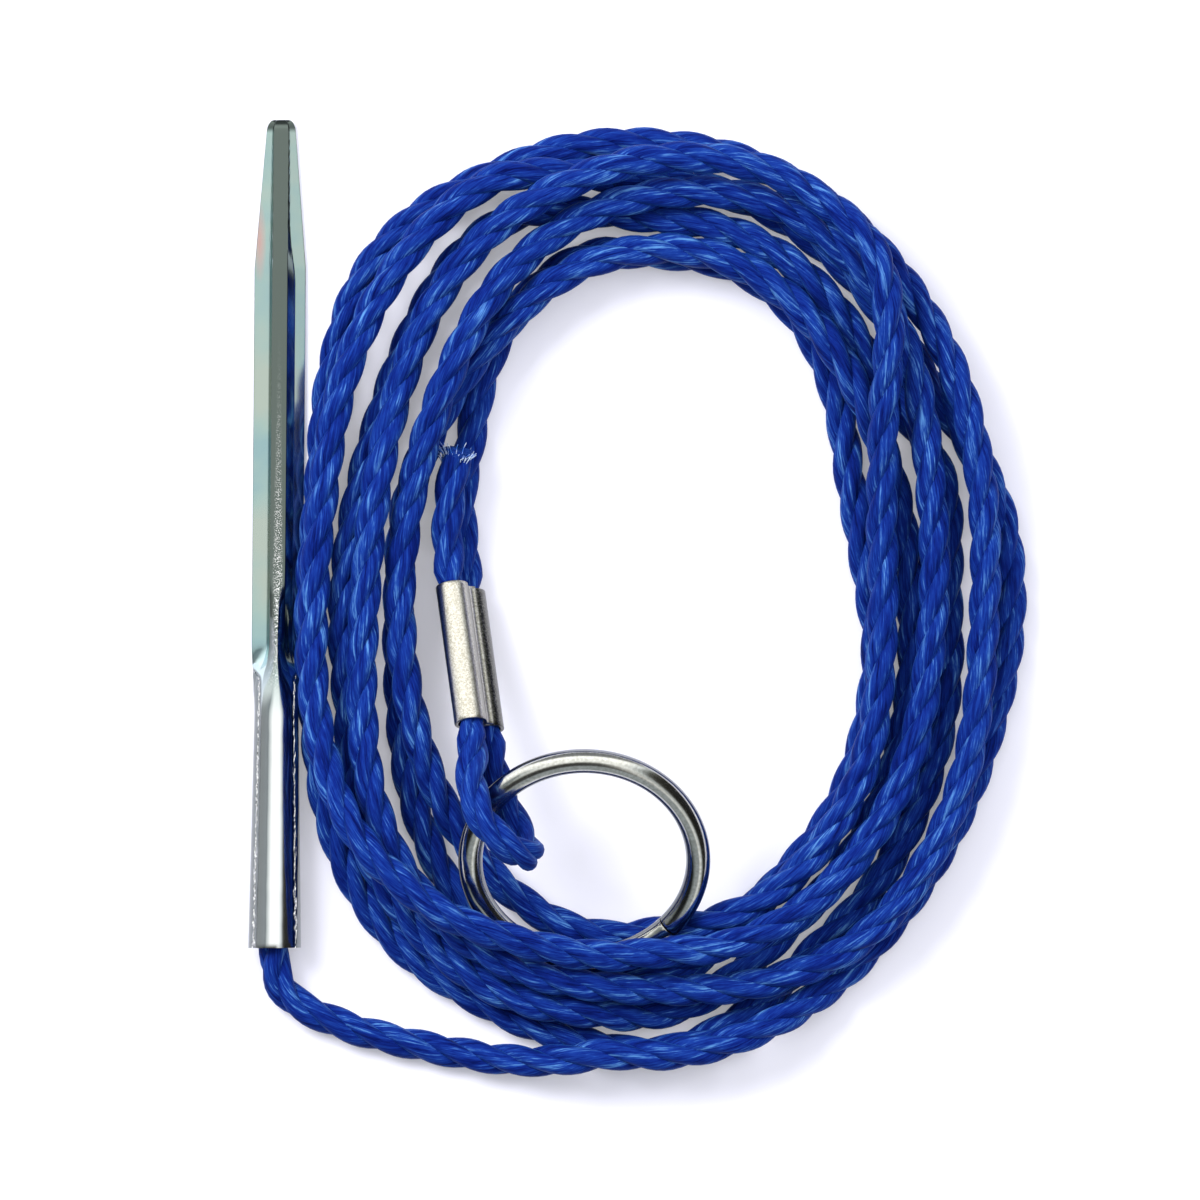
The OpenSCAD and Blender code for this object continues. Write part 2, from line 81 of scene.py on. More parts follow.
# The coil is an oval with a lane across it and a height at each sweep: [sweep, lane, height]
coil_centre, coil_a, coil_b = (23.1, -7.5), 36.5, 50.6
coil_turns = [
    # up the right side, over the head, then across the left side to the ring
    [[0, 5.6, 7.2], [15, 4.9, 6.9], [30, 4.6, 3.2], [45, 4.6, 2.1], [70, 5.7, 2.1],
     [90, 6.9, 2.1], [99, 6.8, 2.1], [106, 5.9, 2.1], [113, 4.2, 2.1], [121, 2.6, 2.1],
     [131, 1.9, 2.1], [145, 1.8, 2.1], [160, 1.9, 2.1], [180, 2.4, 2.1], [188, 3.4, 3.8],
     [196, 5.6, 6.2], [205, 9, 7], [215, 9.9, 7], [226, 9.8, 6.9], [240, 8.9, 6.8],
     [257, 7.3, 6.9], [270, 7.3, 6.9], [285, 8.2, 8.4], [300, 7.6, 13.4], [315, 3.4, 14.6],
     [330, -2, 12.8], [345, -5.4, 10.8]],
    # over the ring's wire, up the right side, down the inside of the left
    [[0, -7.3, 10.3], [15, -6.6, 10.3], [30, -5.4, 9.6], [45, -4.1, 8.2], [60, -3.1, 6.8],
     [90, -2.8, 6.7], [110, -1.2, 6.7], [122, 0.8, 6.8], [135, 2.6, 7.6], [155, 3, 6.7],
     [180, 0.8, 7.1], [195, -0.1, 7.2], [210, -0.9, 7.9], [218, -1.4, 9.6], [226, -2.2, 10.6],
     [240, -3.2, 9.9], [255, -3.5, 7.1], [270, -3.5, 6.6], [285, -3.6, 6.5], [300, -3.8, 5.3],
     [315, -4.6, 2.6], [330, -6, 2.1], [345, -7.9, 2.1]],
    # under the ring's wire, then the steep diagonal over the head
    [[0, -9.8, 2.2], [15, -9.9, 6.5], [30, -9.1, 6.7], [60, -8, 6.7], [90, -9.1, 6.7],
     [105, -8.2, 7.4], [113, -6.6, 9], [121, -4.2, 10.8], [131, 0.6, 12.7], [141, 5.2, 12.5],
     [155, 6.3, 9.8], [180, 5.2, 10.9], [195, 4.4, 10.9], [210, 4.3, 8.4], [225, 3.5, 7.3],
     [240, 1.9, 7], [249, 1.2, 8.7], [258, 0.8, 8.9], [270, 0.9, 8.4], [285, 2.5, 7.8],
     [293, 3.6, 8.9], [303, 4.3, 9.7], [315, 3.8, 9.8], [330, 1.5, 9.3], [345, -1.4, 8.5]],
    # the outermost turn over the head and down the left
    [[0, -2.5, 6.8], [20, -0.4, 6.7], [40, 3.2, 6.7], [60, 4.2, 6.7], [90, 3.6, 6.7],
     [110, 5, 6.7], [122, 5.8, 6.6], [135, 6.1, 4.4], [150, 6.3, 2.1], [165, 6.5, 2.1],
     [180, 7, 2.1], [194, 8.5, 2.1], [207, 10.1, 2.1], [218, 12.2, 2.1], [226, 12.7, 2.1],
     [240, 10.7, 2.1], [255, 8, 2.2], [270, 7.8, 2.3], [285, 8.6, 2.1], [300, 10.3, 2.1],
     [308, 10.5, 2.1], [316, 9.9, 2.1], [330, 7.4, 2.1], [345, 5.8, 2.1]],
    # the lowest turn on the right, then under and between the bands on the left
    [[0, 5.2, 2.5], [15, 2.5, 2.1], [30, 0.1, 2.1], [45, 0.1, 2.1], [60, 0.1, 2.1],
     [75, -0.2, 2.1], [83, -0.6, 2.1], [90, -1, 2.1], [98, -0.6, 2.1], [105, 0.1, 2.1],
     [112, -0.3, 2.1], [120, -2, 2.1], [130, -2.8, 2.6], [140, -2.5, 3.6], [155, -2.3, 4.2],
     [170, -2.4, 4.1], [183, -2.1, 3.2], [195, 0.4, 2.3], [207, 4.2, 2.1], [217, 4.8, 2.1],
     [228, 4, 2.1], [240, 3.1, 2.4], [255, 3, 3.7], [270, 3.6, 4.2], [285, 4.2, 3.3],
     [300, 6.9, 5.8], [315, 6.8, 5.8], [330, 5.2, 6.3], [345, 2.1, 5.7]],
    # low on the right, on the rim at the head, then under the inner band
    [[0, 0.4, 2.1], [8, -0.9, 2.1], [15, -2.3, 2.1], [30, -4.4, 2.1], [45, -4.4, 2.1],
     [60, -4.4, 2.1], [72, -4.7, 2.1], [83, -5.1, 2.1], [92, -5.7, 2.1], [105, -5.9, 2.1],
     [113, -6, 3.6], [121, -6.1, 6], [130, -6, 6.7], [165, -6, 6.8], [180, -6.1, 6.8],
     [210, -5.4, 6.7], [225, -4.9, 6.6], [240, -4, 4.8], [255, -3.1, 2.4], [270, -3.3, 2.1],
     [281, -2.7, 2.1], [300, -0.5, 2.1], [315, 0.6, 2.1], [330, 1.4, 2.1], [345, -2, 2.1]],
    # innermost, ending where the rope leaves the coil for the sleeve
    [[0, -4.5, 2.1], [8, -5.6, 2.1], [15, -7, 2.1], [30, -9.1, 2.1], [60, -9, 2.1],
     [75, -9.3, 2.1], [84, -9.7, 2.1], [93, -10.8, 2.1], [105, -11.3, 2.1], [113, -10.9, 2.1],
     [121, -9.7, 2.1], [132, -8, 2.1], [143, -6.8, 2.1], [157, -6.4, 2.1], [180, -6.7, 2.1],
     [188, -6.2, 2.1], [198, -4.8, 2.1], [210, -4.7, 2.1], [225, -5.8, 2.1], [240, -8.3, 2.1]]
]
knots = [(360 * i + k[0], k[1], k[2]) for i, turn in enumerate(coil_turns) for k in turn]


def knot_slopes(column, flat_peaks):
    """Slope at each knot, level where a height turns, so that no turn dips or humps alone."""
    gaps = [b[0] - a[0] for a, b in zip(knots, knots[1:])]
    rates = [(b[column] - a[column]) / gap for a, b, gap in zip(knots, knots[1:], gaps)]
    slopes = []
    for gap, after, rate, on in zip(gaps, gaps[1:], rates, rates[1:]):
        slope = (after * rate + gap * on) / (gap + after)
        if flat_peaks:
            most = 3 * min(abs(rate), abs(on)) if rate * on > 0 else 0
            slope = max(-most, min(most, slope))
        slopes.append(slope)
    ends = (0, 0) if flat_peaks else (rates[0], rates[-1])
    return [ends[0], *slopes, ends[1]]


lane_slopes, height_slopes = knot_slopes(1, False), knot_slopes(2, True)


def coil_point(sweep):
    """Centre of the rope at a sweep in degrees, counted from the foot of the coil."""
    i = max(k for k in range(len(knots) - 1) if knots[k][0] <= sweep)
    gap = knots[i + 1][0] - knots[i][0]
    f = (sweep - knots[i][0]) / gap

    def eased(column, slopes):
        return (knots[i][column] * (1 + 2 * f) * (1 - f) ** 2 + slopes[i] * gap * f * (1 - f) ** 2
                + knots[i + 1][column] * f * f * (3 - 2 * f)
                - slopes[i + 1] * gap * f * f * (1 - f))

    turn = radians(sweep)
    oval = Vector((coil_a * sin(turn), -coil_b * cos(turn), 0))
    out = Vector((oval.x / coil_a ** 2, oval.y / coil_b ** 2, 0)).normalized()
    place = oval + out * eased(1, lane_slopes)
    return Vector((coil_centre[0] + place.x, coil_centre[1] + place.y, eased(2, height_slopes)))


# The sleeve's own frame carries the two squeezed stretches of the eye
sleeve_l, barrel_pitch = 18.4, 4.2
sleeve_top = Vector((-2.345, -5.611, 4.95))
sleeve_heading, sleeve_climb, sleeve_roll = radians(-82), radians(20), radians(62)
sleeve_dir = Vector((cos(sleeve_climb) * cos(sleeve_heading),
                     cos(sleeve_climb) * sin(sleeve_heading), sin(sleeve_climb)))
sleeve_left = Vector((sin(sleeve_heading), -cos(sleeve_heading), 0))
sleeve_across = sleeve_left * cos(sleeve_roll) + sleeve_left.cross(sleeve_dir) * sin(sleeve_roll)
sleeve_face = sleeve_dir.cross(sleeve_across)


def barrel_points(side):
    """Points down the middle of a barrel, from just before the sleeve to just after it."""
    return [sleeve_top + sleeve_across * (barrel_pitch / 2 * side) + sleeve_dir * along
            for along in (-2, -0.3, sleeve_l / 2, sleeve_l + 0.3, sleeve_l + 2)]


lead_route = [(-25.2, -54.2, 2.3), (-24.3, -55.9, 2.1), (-22.6, -57.5, 2.1), (-19.9, -58.9, 2.1),
              (-15.2, -60.7, 2.1), (-9.9, -62.1, 2.1), (-3, -63.5, 2.1), (3.5, -64.4, 3.6),
              (10.2, -64.4, 6.2)]
standing_route = [(-2.3, 4.5, 2.1), (-2.2, 2.2, 2.1), (-1.9, -0.2, 2.1)]
eye_route = [(1.9, -28.2, 11.3), (2.7, -30.6, 11.9), (3.7, -33.2, 12.3), (4.8, -35.4, 12.9),
             (5.7, -37.1, 13.9), (6.2, -38.2, 15.5), (6, -38.7, 17.3), (5.1, -38.5, 18.9),
             (3.7, -37.6, 20.1), (2.1, -36.2, 20.8), (0.6, -34.3, 20.7), (-0.5, -31.8, 19.6),
             (-0.9, -29.1, 17.7), (-0.8, -26.6, 15.4)]
tail_route = [(-4, 1.4, 5.8), (-3.8, 4.6, 6.2), (-3.4, 8, 6.2), (-2.7, 11.9, 6.2)]

# The rope runs straight for a short way into the coil and out of it
run_in, run_out = Vector((4, 0, 0)), Vector((cos(radians(-100)), sin(radians(-100)), 0)) * 4
coil_line = [coil_point(sweep) for sweep in range(0, knots[-1][0] + 1, 5)]
squeezed = [1, 0.75, 0.75, 0.75, 1]
route = [(p, 1) for p in
         [on_needle(needle_l + back, 0, socket_z) for back in (-in_socket, -in_socket / 2, 0, 2)]
         + [Vector(p) for p in lead_route]
         + [coil_line[0] - run_in * 2, coil_line[0] - run_in] + coil_line
         + [coil_line[-1] + run_out, coil_line[-1] + run_out * 2]
         + [Vector(p) for p in standing_route]]
route += list(zip(barrel_points(-1), squeezed)) + [(Vector(p), 1) for p in eye_route]
route += list(zip(reversed(barrel_points(1)), squeezed)) + [(Vector(p), 1) for p in tail_route]


def even_line(route, step):
    """A smooth curve through a route of (point, scale), as points an even step apart."""
    points = [route[0][0] * 2 - route[1][0], *[p for p, _ in route],
              route[-1][0] * 2 - route[-2][0]]
    fine, cuts = [], 24
    for i in range(1, len(points) - 2):
        a, b, c, d = points[i - 1:i + 3]
        t1 = (b - a).length ** 0.5
        t2 = t1 + (c - b).length ** 0.5
        t3 = t2 + (d - c).length ** 0.5
        for k in range(cuts):
            t = t1 + (t2 - t1) * k / cuts
            ab, bc = a + (b - a) * (t / t1), b + (c - b) * ((t - t1) / (t2 - t1))
            cd = c + (d - c) * ((t - t2) / (t3 - t2))
            left = ab + (bc - ab) * (t / t2)
            right = bc + (cd - bc) * ((t - t1) / (t3 - t1))
            scale = route[i - 1][1] + (route[i][1] - route[i - 1][1]) * k / cuts
            fine.append((left + (right - left) * ((t - t1) / (t2 - t1)), scale))
    fine.append(route[-1])
    runs = [0]
    for (a, _), (b, _) in zip(fine, fine[1:]):
        runs.append(runs[-1] + (b - a).length)
    count = round(runs[-1] / step)
    line, k = [], 0
    for i in range(count + 1):
        at = runs[-1] * i / count
        while k < len(runs) - 2 and runs[k + 1] < at:
            k += 1
        f = (at - runs[k]) / (runs[k + 1] - runs[k])
        (a, a_scale), (b, b_scale) = fine[k], fine[k + 1]
        line.append((a.lerp(b, f), a_scale * (1 - f) + b_scale * f))
    return line, runs[-1]


rope_line, rope_l = even_line(route, rope_step)


def carried_frames(points):
    """Heading and side at each point, the side carried along without a twist."""
    frames, side = [], Vector((0, 0, 1))
    for i in range(len(points)):
        ahead = (points[min(i + 1, len(points) - 1)] - points[max(i - 1, 0)]).normalized()
        side = (side - ahead * side.dot(ahead)).normalized()
        frames.append((ahead, side))
    return frames


rope_frames = carried_frames([p for p, _ in rope_line])


def piece_from_curve(name, splines, thick, sides):
    """Round strings along splines of (point, scale) in millimetres, as one mesh object."""
    curve = bpy.data.curves.new(name, "CURVE")
    curve.dimensions = "3D"
    curve.bevel_depth = thick * mm
    curve.bevel_resolution = sides // 2 - 2
    curve.use_fill_caps = True
    for points in splines:
        spline = curve.splines.new("POLY")
        spline.points.add(len(points) - 1)
        spline.points.foreach_set("co", [c for p, _ in points for c in (*(p * mm), 1)])
        spline.points.foreach_set("radius", [scale for _, scale in points])
    holder = placed(name, curve)
    mesh = bpy.data.meshes.new_from_object(
        holder.evaluated_get(bpy.context.evaluated_depsgraph_get()))
    bpy.data.objects.remove(holder)
    mesh.name = name
    return placed(name, mesh)


strands = []
for k in range(strand_count):
    strand = []
    for i, ((point, scale), (ahead, side)) in enumerate(zip(rope_line, rope_frames)):
        turn = 2 * pi * (i * rope_l / (len(rope_line) - 1) / rope_lay + k / strand_count)
        out = side * cos(turn) + ahead.cross(side) * sin(turn)
        strand.append((point + out * helix_r * scale, scale))
    strands.append(strand)
rope = piece_from_curve("rope", strands, strand_r, strand_sides)


def wire(node, links):
    """Sets a node's sockets, each to a value or to what another node gives."""
    for socket, value in links.items():
        if isinstance(value, bpy.types.NodeSocket):
            node.id_data.links.new(value, node.inputs[socket])
        else:
            node.inputs[socket].default_value = value


def add(material, kind, links=None, stops=(), **settings):
    """Adds a node with its settings and sockets, and with the stops of a range of colours
    as (place, sRGB hex)."""
    made = material.node_tree.nodes.new(kind)
    for name, value in settings.items():
        setattr(made, name, value)
    while stops and len(made.color_ramp.elements) < len(stops):
        made.color_ramp.elements.new(1)
    for k, (place, code) in enumerate(stops):
        made.color_ramp.elements[k].position = place
        made.color_ramp.elements[k].color = linear(code)
    wire(made, links or {})
    return made


def linear(code, alpha=1):
    """A colour from its sRGB hex value."""
    parts = [int(code[k:k + 2], 16) / 255 for k in (1, 3, 5)]
    return (*[c / 12.92 if c <= 0.04045 else ((c + 0.055) / 1.055) ** 2.4 for c in parts], alpha)


def new_material(name, metal, rough):
    """A material and its shader."""
    made = bpy.data.materials.new(name)
    made.use_nodes = True
    shader = made.node_tree.nodes["Principled BSDF"]
    wire(shader, {"Metallic": metal, "Roughness": rough})
    return made, shader


# Each vertex keeps its place round its own strand and along it, in millimetres. The yarns
# of a strand turn against the rope's lay, so that they run along the rope on its crowns.
# A strand's places start well past the end of the one before, so that none is patterned
# like another. The mesh lists the strands' ends first and then ring after ring of each.
yarn_turn = (helix_r + strand_r) / (strand_r * rope_lay / (2 * pi))
strand_apart = 3000
rope_mesh = rope.data
end_count = len(rope_mesh.vertices) - strand_count * strand_sides * len(rope_line)
places = []
for vertex in rope_mesh.vertices:
    k, i = divmod(max(vertex.index - end_count, 0) // strand_sides, len(rope_line))
    (point, scale), (ahead, side) = rope_line[i], rope_frames[i]
    centre = strands[k][i][0]
    out = (centre - point).normalized()
    spoke = vertex.co / mm - centre
    run = i * rope_l / (len(rope_line) - 1)
    turn = atan2(spoke.dot(ahead.cross(out)), spoke.dot(out)) + yarn_turn * run
    places += [strand_r * cos(turn), strand_r * sin(turn), run + strand_apart * k]
rope_mesh.attributes.new("yarn", "FLOAT_VECTOR", "POINT").data.foreach_set("vector", places)


def weld(piece):
    """Merges the points that lie on each other and shades the piece smooth."""
    shape = bmesh.new()
    shape.from_mesh(piece.data)
    bmesh.ops.remove_doubles(shape, verts=shape.verts, dist=0.001 * mm)
    for face in shape.faces:
        face.smooth = True
    shape.to_mesh(piece.data)
    shape.free()


weld(rope)

# Polypropylene film yarn: a strong blue with a greasy sheen. Fine lengthwise filaments
# differ in tone, their lightest streaks are painted highlights, and the grooves between the
# strands stay deep blue.
rope_blue, shader = new_material("twisted_polypropylene", 0, 0.5)
yarn = add(rope_blue, "ShaderNodeAttribute", attribute_name="yarn")
along = add(rope_blue, "ShaderNodeMapping", {"Vector": yarn.outputs["Vector"],
                                             "Scale": (1, 1, 0.09)})
# Filaments are 0.1 mm wide; they are drawn at about 0.25 mm so that they show
filament = add(rope_blue, "ShaderNodeTexNoise", {"Vector": along.outputs["Vector"], "Scale": 5.5,
                                                 "Detail": 3, "Roughness": 0.6})
bundle = add(rope_blue, "ShaderNodeTexNoise", {"Vector": along.outputs["Vector"], "Scale": 1.3,
                                               "Detail": 2})
shade = add(rope_blue, "ShaderNodeMath", {0: filament.outputs["Fac"], 1: bundle.outputs["Fac"]},
            operation="ADD")
shade = add(rope_blue, "ShaderNodeMath", {0: shade.outputs["Value"], 1: 0.5},
            operation="MULTIPLY")
# The lightest blue of this range is a painted highlight on single filaments
hue = add(rope_blue, "ShaderNodeValToRGB", {"Fac": shade.outputs["Value"]},
          stops=((0.34, "#060e46"), (0.46, "#0d2170"), (0.56, "#18388a"), (0.67, "#5284c0")))
lift = add(rope_blue, "ShaderNodeBump", {"Height": filament.outputs["Fac"], "Strength": 0.55,
                                         "Distance": 0.12 * mm})
wire(shader, {"Base Color": hue.outputs["Color"], "Normal": lift.outputs["Normal"],
              "Specular IOR Level": 0.05, "Specular Tint": linear("#5a9be8"),
              "Sheen Weight": 0.22, "Sheen Roughness": 0.4, "Sheen Tint": linear("#2f86e6")})
rope.data.materials.append(rope_blue)

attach(rope, "stringer")
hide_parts("rope_lead", "rope_coil", "rope_eye")

# Loose filaments stand out round the cut end, whitened where the blade dragged them. Each
# takes its turn, spread, foot and reach from its number, in steps that never line up
tail_end, (tail_ahead, tail_side) = rope_line[-1][0], rope_frames[-1]
hair_count, hair_r, foot_r = 46, 0.06, 1.6
# Without a seed this vector noise would start from the clock
noise.seed_set(5)
hairs = []
for k in range(hair_count):
    spin = 2.4 * k
    spread = 0.35 + 0.65 * ((k * 0.618) % 1)
    foot = tail_end - tail_ahead * (0.8 + 1.2 * ((k * 0.37) % 1))
    out = tail_side * cos(spin) + tail_ahead.cross(tail_side) * sin(spin)
    reach = 0.8 + 1.6 * ((k * 0.7548) % 1)
    hair = [(foot + out * foot_r, 1)]
    for f in (0.35, 0.7, 1):
        lean = out * spread * f ** 1.4 + tail_ahead * (1.1 - 0.5 * spread) * f
        bend = noise.noise_vector(Vector((k, f * 2, 3))) * 0.5 * f
        hair.append((foot + out * foot_r + lean * reach + bend, 1 - 0.5 * f))
    hairs.append(hair)
tail_fray = piece_from_curve("tail_fray", hairs, hair_r, 6)
weld(tail_fray)
# Scuffed film goes from the rope's blue to a whitish one, in patches of about 1 mm
fray_pale, shader = new_material("scuffed_polypropylene", 0, 0.5)
where = add(fray_pale, "ShaderNodeTexCoord").outputs["Object"]
patch = add(fray_pale, "ShaderNodeTexNoise", {"Vector": where, "Scale": 0.9 / mm})
hue = add(fray_pale, "ShaderNodeValToRGB", {"Fac": patch.outputs["Fac"]},
          stops=((0.4, "#2f6ad0"), (0.6, "#c9dcf2")))
wire(shader, {"Base Color": hue.outputs["Color"]})
tail_fray.data.materials.append(fray_pale)
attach(tail_fray, "stringer")


# Needle. A blank of 0.6 mm sheet steel, zinc plated and clear passivated. Its front is
# pressed to a hat section with two shallow wings and a blunt tip, and its back is rolled
# into an open socket that takes the rope's end.
sheet_t, socket_l, taper_l = 0.6, 30, 18.6
blade_w, blade_h, ridge_w, wing_slope = 6.4, 1.9, 1.9, radians(15)
tip_w, tip_h, tip_round, tip_blunt, tip_drop = 3.4, 1.3, 1.4, 0.55, 0.5
waist_d, mouth_d, seam_w = 5.5, 6.6, 0.4
blade_l = needle_l - socket_l
lip_z, least_rise = sheet_t * cos(wing_slope), 0.25
# Stretches from the tip back: where the wings turn under, where the ridge climbs to the
# socket, and where the right flank leans out from its steep share of the half beside the
# ridge to its broad one. The left flank keeps its share
turning, climbing, leaning = (blade_l - 8.5, blade_l + 1), (blade_l - 18, blade_l), (13, 21)
left_flank, right_steep, right_broad = 0.15, 0.1, 0.4
# Where the dark reflection painted on the tip and on the steep right flank ends, and
# where the ridge's specks, painted glints, come up
tip_dark_fade, flank_dark_fade, speck_rise = (0.9, 1.7), (20, 24), (25, 67)


def rising(at, start, end):
    """Rises smoothly from 0 at the start to 1 at the end."""
    f = min(1, max(0, (at - start) / (end - start)))
    return f * f * (3 - 2 * f)


def folded(back, share, flank):
    """Outside of the pressed section at a share of its half width, from ridge to lip, with
    a flank that takes its share of the side."""
    f = min(back / taper_l, 1)
    half = (tip_w + (blade_w - tip_w) * f) / 2
    top = tip_h + (blade_h - tip_h) * f
    if back < tip_round:
        half *= tip_blunt + (1 - tip_blunt) * sqrt(1 - (1 - back / tip_round) ** 2)
        top -= tip_drop * (1 - back / tip_round) ** 2
    flat = min(ridge_w / 2, half / 2)
    toe = flat + flank * (half - flat)
    low = min(lip_z + (half - toe) * tan(wing_slope), top - least_rise)
    low_end = min(lip_z, low)
    corners = [(0, top), (flat, top), (toe, low), (half, low_end)]
    runs = [hypot(b[0] - a[0], b[1] - a[1]) for a, b in zip(corners, corners[1:])]
    at = share * sum(runs)
    for k, run in enumerate(runs):
        if at <= run or k == 2:
            (x0, z0), (x1, z1) = corners[k], corners[k + 1]
            return x0 + (x1 - x0) * at / run, z0 + (z1 - z0) * at / run
        at -= run


def rolled(back, share):
    """Outside of the round section at a share of its half girth, from the top to the seam."""
    r = (waist_d + (mouth_d - waist_d) * max(0, (back - blade_l) / socket_l)) / 2
    last = pi - asin(seam_w / 2 / r)
    return r * sin(last * share), r * (cos(last * share) - cos(last))


def piece_from_shape(name, shape):
    """One mesh object from a shape, which it uses up."""
    mesh = bpy.data.meshes.new(name)
    shape.to_mesh(mesh)
    shape.free()
    return placed(name, mesh)


def round_edges(piece, width):
    """Takes the sharpness off a piece's cut edges."""
    edge = piece.modifiers.new("edge", "BEVEL")
    edge.width, edge.segments = width * mm, 2
    edge.limit_method, edge.angle_limit = "ANGLE", radians(50)


def sheet_piece(name, shape, out, thick, rounding):
    """A piece of sheet metal from its outside: faces it the way that `out` gives for a face,
    thickens it inward and rounds its cut edges."""
    bmesh.ops.recalc_face_normals(shape, faces=shape.faces)
    if sum(face.normal.dot(out(face)) for face in shape.faces) < 0:
        bmesh.ops.reverse_faces(shape, faces=shape.faces)
    piece = piece_from_shape(name, shape)
    for face in piece.data.polygons:
        face.use_smooth = True
    wall = piece.modifiers.new("wall", "SOLIDIFY")
    wall.thickness, wall.offset, wall.use_even_offset = thick * mm, -1, True
    round_edges(piece, rounding)
    return piece


blank = bmesh.new()
bmesh.ops.create_grid(blank, x_segments=96, y_segments=260, size=1)
painted_reflection_marks = blank.verts.layers.float_vector.new("painted_reflection_marks")
for vertex in blank.verts:
    on_right, share, row = vertex.co.x > 0, abs(vertex.co.x), (1 - vertex.co.y) / 2
    # the rows stand closer together towards the tip
    back = needle_l * row * (row + 0.2) / 1.2
    opened = rising(back, *turning)
    # the ridge climbs sooner and more gently than the wings turn under
    climbed = rising(back, *climbing)
    climbed += (opened - climbed) * rising(share, 0, 0.5)
    flank = left_flank
    if on_right:
        flank = right_steep + (right_broad - right_steep) * rising(back, *leaning)
    (x0, z0), (x1, z1) = folded(back, share, flank), rolled(back, share)
    x, z = x0 + (x1 - x0) * opened, z0 + (z1 - z0) * climbed
    socket_r = rolled(back, 0.5)[0]
    if 0 < opened < 1:
        # the waist keeps its width while the wings turn under
        widest = max(folded(back, k / 8, flank)[0] * (1 - opened)
                     + rolled(back, k / 8)[0] * opened for k in range(3, 9))
        kept = blade_w / 2 * (1 - opened) + socket_r * opened
        x *= 1 + (kept / widest - 1) * (x / widest) ** 2
    # the rolling bench leaves the socket's sides slightly wavy
    wave = 1 + 0.005 * opened * noise.noise(Vector((x0 * 1.2 + 9, back * 0.6, 5)))
    x, z = x * wave, z * wave
    vertex.co = on_needle(back, x if on_right else -x, z) * mm
    # how far the vertex is on the ridge, right flank or tip, where a dark reflection is
    # painted, how far in the ridge's specks of painted glint, whose band widens towards the
    # socket, and how far out on the socket's side
    on_ridge = (folded(back, 0, flank)[1] - z0 < 0.05) * (1 - opened)
    on_flank = 0.9 * (on_right and z0 > 1) * (1 - rising(back, *flank_dark_fade))
    on_tip = 1 - rising(back, *tip_dark_fade)
    speck_share = rising(back, *speck_rise)
    band = ridge_w * (0.15 + 0.25 * speck_share)
    vertex[painted_reflection_marks] = Vector((max(on_ridge, on_flank, on_tip),
                             on_ridge * speck_share * max(0, 1 - (x0 / band) ** 2),
                             min(1, 2 * opened) * abs(x) / socket_r))
needle = sheet_piece("folded_needle", blank, lambda face: Vector((0, 0, face.calc_area())),
                     sheet_t, 0.1)

# Zinc plate with a clear-blue passivation: a soft mirror that clouds from green to blue,
# with one pink stain. The ridge, the tip and the steep right flank have a dark reflection
# painted in, the ridge with fine bright specks painted as glints. The rolling dies have left
# the socket bare with a ragged line, and its sides have painted shade and a painted glint.
zinc, shader = new_material("blue_passivated_zinc_sheet", 1, 0.15)
where = add(zinc, "ShaderNodeTexCoord").outputs["Object"]
cloud = add(zinc, "ShaderNodeTexNoise", {"Vector": where, "Scale": 0.09 / mm, "Detail": 3})
film = add(zinc, "ShaderNodeValToRGB", {"Fac": cloud.outputs["Fac"]},
           stops=((0.35, "#b4d4d6"), (0.5, "#c4dcd4"), (0.65, "#d2ddd0")))
# The stain lies on the left edge, 15 mm from the tip, and is about 11 mm long
stain_place, stain_reach = (-27.5 * mm, 38 * mm, 0), (0.9 * mm, 5.5 * mm, 9 * mm)
stain = add(zinc, "ShaderNodeMapping", {"Vector": where, "Location": stain_place,
                                        "Scale": stain_reach}, vector_type="TEXTURE")
stain = add(zinc, "ShaderNodeTexGradient", {"Vector": stain.outputs["Vector"]},
            gradient_type="SPHERICAL")
film = add(zinc, "ShaderNodeMix", {0: stain.outputs["Fac"], 6: film.outputs["Color"],
                                   7: linear("#f0c4bc")}, data_type="RGBA")
# The film thins out to bare plate over the waist
place = add(zinc, "ShaderNodeSeparateXYZ", {"Vector": where})
bare = add(zinc, "ShaderNodeMapRange", {"Value": place.outputs["Y"], "From Min": -12 * mm,
                                        "From Max": -22 * mm})
film = add(zinc, "ShaderNodeMix", {0: bare.outputs["Result"], 6: film.outputs[2],
                                   7: linear("#e6e9e8")}, data_type="RGBA")
mark = add(zinc, "ShaderNodeSeparateXYZ", {"Vector": add(
    zinc, "ShaderNodeAttribute", attribute_name="painted_reflection_marks").outputs["Vector"]})
# Specks of 0.1 mm are drawn at about 0.15 mm so that they show; they are bumps with a painted
# white glint in their colour
grit = add(zinc, "ShaderNodeTexNoise", {"Vector": where, "Scale": 7.5 / mm, "Detail": 1})
speck = add(zinc, "ShaderNodeValToRGB", {"Fac": grit.outputs["Fac"]},
            stops=((0.54, "#000000"), (0.6, "#ffffff")))
rise = add(zinc, "ShaderNodeMath", {0: speck.outputs["Color"], 1: mark.outputs["Y"]},
           operation="MULTIPLY")
# Painted dark reflection for the ridge, tip and right flank, with the specks as painted white
# glints
painted_dark_reflection = add(zinc, "ShaderNodeMix", {0: rise.outputs["Value"], 6: linear("#5e6863"),
                                          7: linear("#ffffff")}, data_type="RGBA")
hue = add(zinc, "ShaderNodeMix", {0: mark.outputs["X"], 6: film.outputs[2],
                                  7: painted_dark_reflection.outputs[2]}, data_type="RGBA")
# Past about two thirds of the socket's half width its sides get painted shade, a dark reflection
side = add(zinc, "ShaderNodeMapRange", {"Value": mark.outputs["Z"], "From Min": 0.64,
                                        "From Max": 0.72, "To Max": 0.9})
hue = add(zinc, "ShaderNodeMix", {0: side.outputs["Result"], 6: hue.outputs[2],
                                  7: linear("#6c7270")}, data_type="RGBA")
